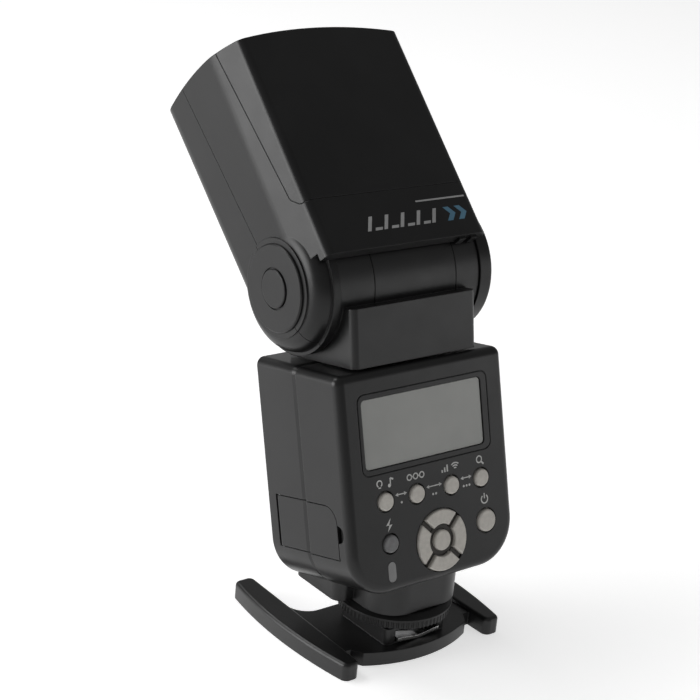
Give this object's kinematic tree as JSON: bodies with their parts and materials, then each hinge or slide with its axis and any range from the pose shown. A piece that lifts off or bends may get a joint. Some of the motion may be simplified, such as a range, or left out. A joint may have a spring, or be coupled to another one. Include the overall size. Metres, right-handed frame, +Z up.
{
  "type": "speedlight flash",
  "caption": "Camera flash with a tilting, swivelling head, a rear display with keys, and a hot-shoe foot held in a small table stand.",
  "frame": {"origin": "centre of the stand's tripod thread where it meets the surface, directly under the centre of the hot-shoe foot", "axes": "+Z up, +Y towards the subject, the way the flash faces, +X to the right as seen from the rear control panel"},
  "size_m": [0.0776, 0.131, 0.2009],
  "materials": {
    "case_black": "fine satin texture",
    "gloss_black": "gloss",
    "key_grey": "satin silicone rubber",
    "key_dark": "satin silicone rubber",
    "lcd_grey": "clear window over a grey-green display",
    "indicator": "smoked",
    "sensor_red": "deep red, gloss",
    "lens_clear": "clear, ribbed inside",
    "card_white": "satin white",
    "panel_clear": "clear, pebbled",
    "steel": "brushed",
    "spring_steel": "bright",
    "brass": "machined",
    "reflector_bright": "bright",
    "board_green": "solder mask",
    "cell_sleeve": "printed sleeve, plain",
    "capacitor_sleeve": "shrink sleeve",
    "tube_glass": "clear"
  },
  "bodies": {
    "stand": {"stand_base": "case_black", "stand_thread_insert": "brass", "stand_leaf_spring": "spring_steel"},
    "flash": {"shoe_foot": "steel", "centre_contact": "spring_steel", "rear_case": "case_black", "front_case": "case_black", "pedestal": "case_black", "case_screws": "steel", "sensor_window": "sensor_red", "sensor_board": "board_green", "lcd_window": "lcd_grey", "lcd_module": "lcd_grey", "control_board": "board_green", "ready_light": "indicator", "cover_pins": "steel", "port_panel": "case_black", "sync_socket": "steel", "power_socket": "gloss_black", "battery_box": "case_black", "battery_cells": "cell_sleeve", "inner_contacts": "spring_steel", "flash_capacitor": "capacitor_sleeve", "power_board": "board_green"},
    "lock_wheel": {"lock_wheel": "case_black"},
    "clamp_plate": {"clamp_plate": "steel"},
    "port_cover": {"port_cover": "case_black"},
    "battery_door": {"battery_door": "case_black", "door_contacts": "spring_steel"},
    "key_sound": {"key_sound": "key_grey"},
    "key_mode": {"key_mode": "key_grey"},
    "key_group": {"key_group": "key_grey"},
    "key_zoom": {"key_zoom": "key_grey"},
    "key_power": {"key_power": "key_grey"},
    "key_pilot": {"key_pilot": "key_dark"},
    "key_ok": {"key_ok": "key_grey"},
    "pad_up": {"pad_up": "key_grey"},
    "pad_left": {"pad_left": "key_grey"},
    "pad_down": {"pad_down": "key_grey"},
    "pad_right": {"pad_right": "key_grey"},
    "neck": {"neck_rear_cover": "case_black", "neck_front_cover": "case_black", "swivel_shaft": "gloss_black", "swivel_clip": "steel", "hinge_shaft": "steel"},
    "head": {"head_upper_shell": "case_black", "head_lower_shell": "case_black", "head_top_cover": "case_black", "hinge_bosses": "case_black", "hinge_caps": "case_black", "lens_frame": "case_black", "fresnel_lens": "lens_clear", "flag_tray": "case_black", "zoom_motor": "steel"},
    "bounce_card": {"bounce_card": "card_white"},
    "wide_panel": {"wide_panel": "panel_clear"},
    "zoom_carriage": {"zoom_carriage": "gloss_black", "reflector": "reflector_bright", "flash_tube": "tube_glass"},
    "zoom_screw": {"zoom_screw": "steel"}
  },
  "joints": [
    {"name": "foot_slide", "type": "slide", "parent": "stand", "child": "flash", "axis": [0, -1, 0], "range_m": [0, 0.018]},
    {"name": "lock_turn", "type": "hinge", "parent": "flash", "child": "lock_wheel", "pos_m": [0, 0, 0.015], "axis": [0, 0, 1], "range_deg": [0, 120]},
    {"name": "clamp_travel", "type": "slide", "parent": "flash", "child": "clamp_plate", "axis": [0, 0, -1], "range_m": [0, 0.00021]},
    {"name": "port_cover_hinge", "type": "hinge", "parent": "flash", "child": "port_cover", "pos_m": [-0.03435, 0.02295, 0.04195], "axis": [0, -0.2756, -0.9613], "range_deg": [0, 95]},
    {"name": "battery_door_hinge", "type": "hinge", "parent": "flash", "child": "battery_door", "pos_m": [0.03435, 0.02718, 0.0567], "axis": [0, 0.2756, 0.9613], "range_deg": [0, 95]},
    {"name": "swivel", "type": "hinge", "parent": "flash", "child": "neck", "pos_m": [0, 0.02781, 0.09772], "axis": [0, 0.1908, 0.9816], "range_deg": [-90, 180]},
    {"name": "tilt", "type": "hinge", "parent": "neck", "child": "head", "pos_m": [0, 0.03277, 0.12324], "axis": [-1, 0, 0], "range_deg": [-34, 63]},
    {"name": "card_slide", "type": "slide", "parent": "head", "child": "bounce_card", "axis": [0, 0.7071, 0.7071], "range_m": [0, 0.04]},
    {"name": "panel_slide", "type": "slide", "parent": "head", "child": "wide_panel", "axis": [0, 0.7071, 0.7071], "range_m": [0, 0.038]},
    {"name": "zoom_travel", "type": "slide", "parent": "head", "child": "zoom_carriage", "axis": [0, 0.7071, 0.7071], "range_m": [0, 0.018]},
    {"name": "zoom_screw_turn", "type": "hinge", "parent": "head", "child": "zoom_screw", "pos_m": [0.0285, 0.06813, 0.14021], "axis": [0, 0.7071, 0.7071], "range_deg": [0, 545]},
    {"name": "key_sound_press", "type": "slide", "parent": "flash", "child": "key_sound", "axis": [0, 0.9613, -0.2756], "range_m": [0, 0.0007], "stiffness_N_per_m": 1200},
    {"name": "key_mode_press", "type": "slide", "parent": "flash", "child": "key_mode", "axis": [0, 0.9613, -0.2756], "range_m": [0, 0.0007], "stiffness_N_per_m": 1200},
    {"name": "key_group_press", "type": "slide", "parent": "flash", "child": "key_group", "axis": [0, 0.9613, -0.2756], "range_m": [0, 0.0007], "stiffness_N_per_m": 1200},
    {"name": "key_zoom_press", "type": "slide", "parent": "flash", "child": "key_zoom", "axis": [0, 0.9613, -0.2756], "range_m": [0, 0.0007], "stiffness_N_per_m": 1200},
    {"name": "key_power_press", "type": "slide", "parent": "flash", "child": "key_power", "axis": [0, 0.9613, -0.2756], "range_m": [0, 0.0007], "stiffness_N_per_m": 1200},
    {"name": "key_pilot_press", "type": "slide", "parent": "flash", "child": "key_pilot", "axis": [0, 0.9613, -0.2756], "range_m": [0, 0.0007], "stiffness_N_per_m": 1200},
    {"name": "key_ok_press", "type": "slide", "parent": "flash", "child": "key_ok", "axis": [0, 0.9613, -0.2756], "range_m": [0, 0.0007], "stiffness_N_per_m": 1200},
    {"name": "pad_up_press", "type": "slide", "parent": "flash", "child": "pad_up", "axis": [0, 0.9613, -0.2756], "range_m": [0, 0.0007], "stiffness_N_per_m": 1200},
    {"name": "pad_left_press", "type": "slide", "parent": "flash", "child": "pad_left", "axis": [0, 0.9613, -0.2756], "range_m": [0, 0.0007], "stiffness_N_per_m": 1200},
    {"name": "pad_down_press", "type": "slide", "parent": "flash", "child": "pad_down", "axis": [0, 0.9613, -0.2756], "range_m": [0, 0.0007], "stiffness_N_per_m": 1200},
    {"name": "pad_right_press", "type": "slide", "parent": "flash", "child": "pad_right", "axis": [0, 0.9613, -0.2756], "range_m": [0, 0.0007], "stiffness_N_per_m": 1200}
  ],
  "couplings": [
    {"joint": "clamp_travel", "follows": "lock_turn", "m_per_rad": 0.000095493},
    {"joint": "zoom_screw_turn", "follows": "zoom_travel", "rad_per_m": 523.6}
  ]
}
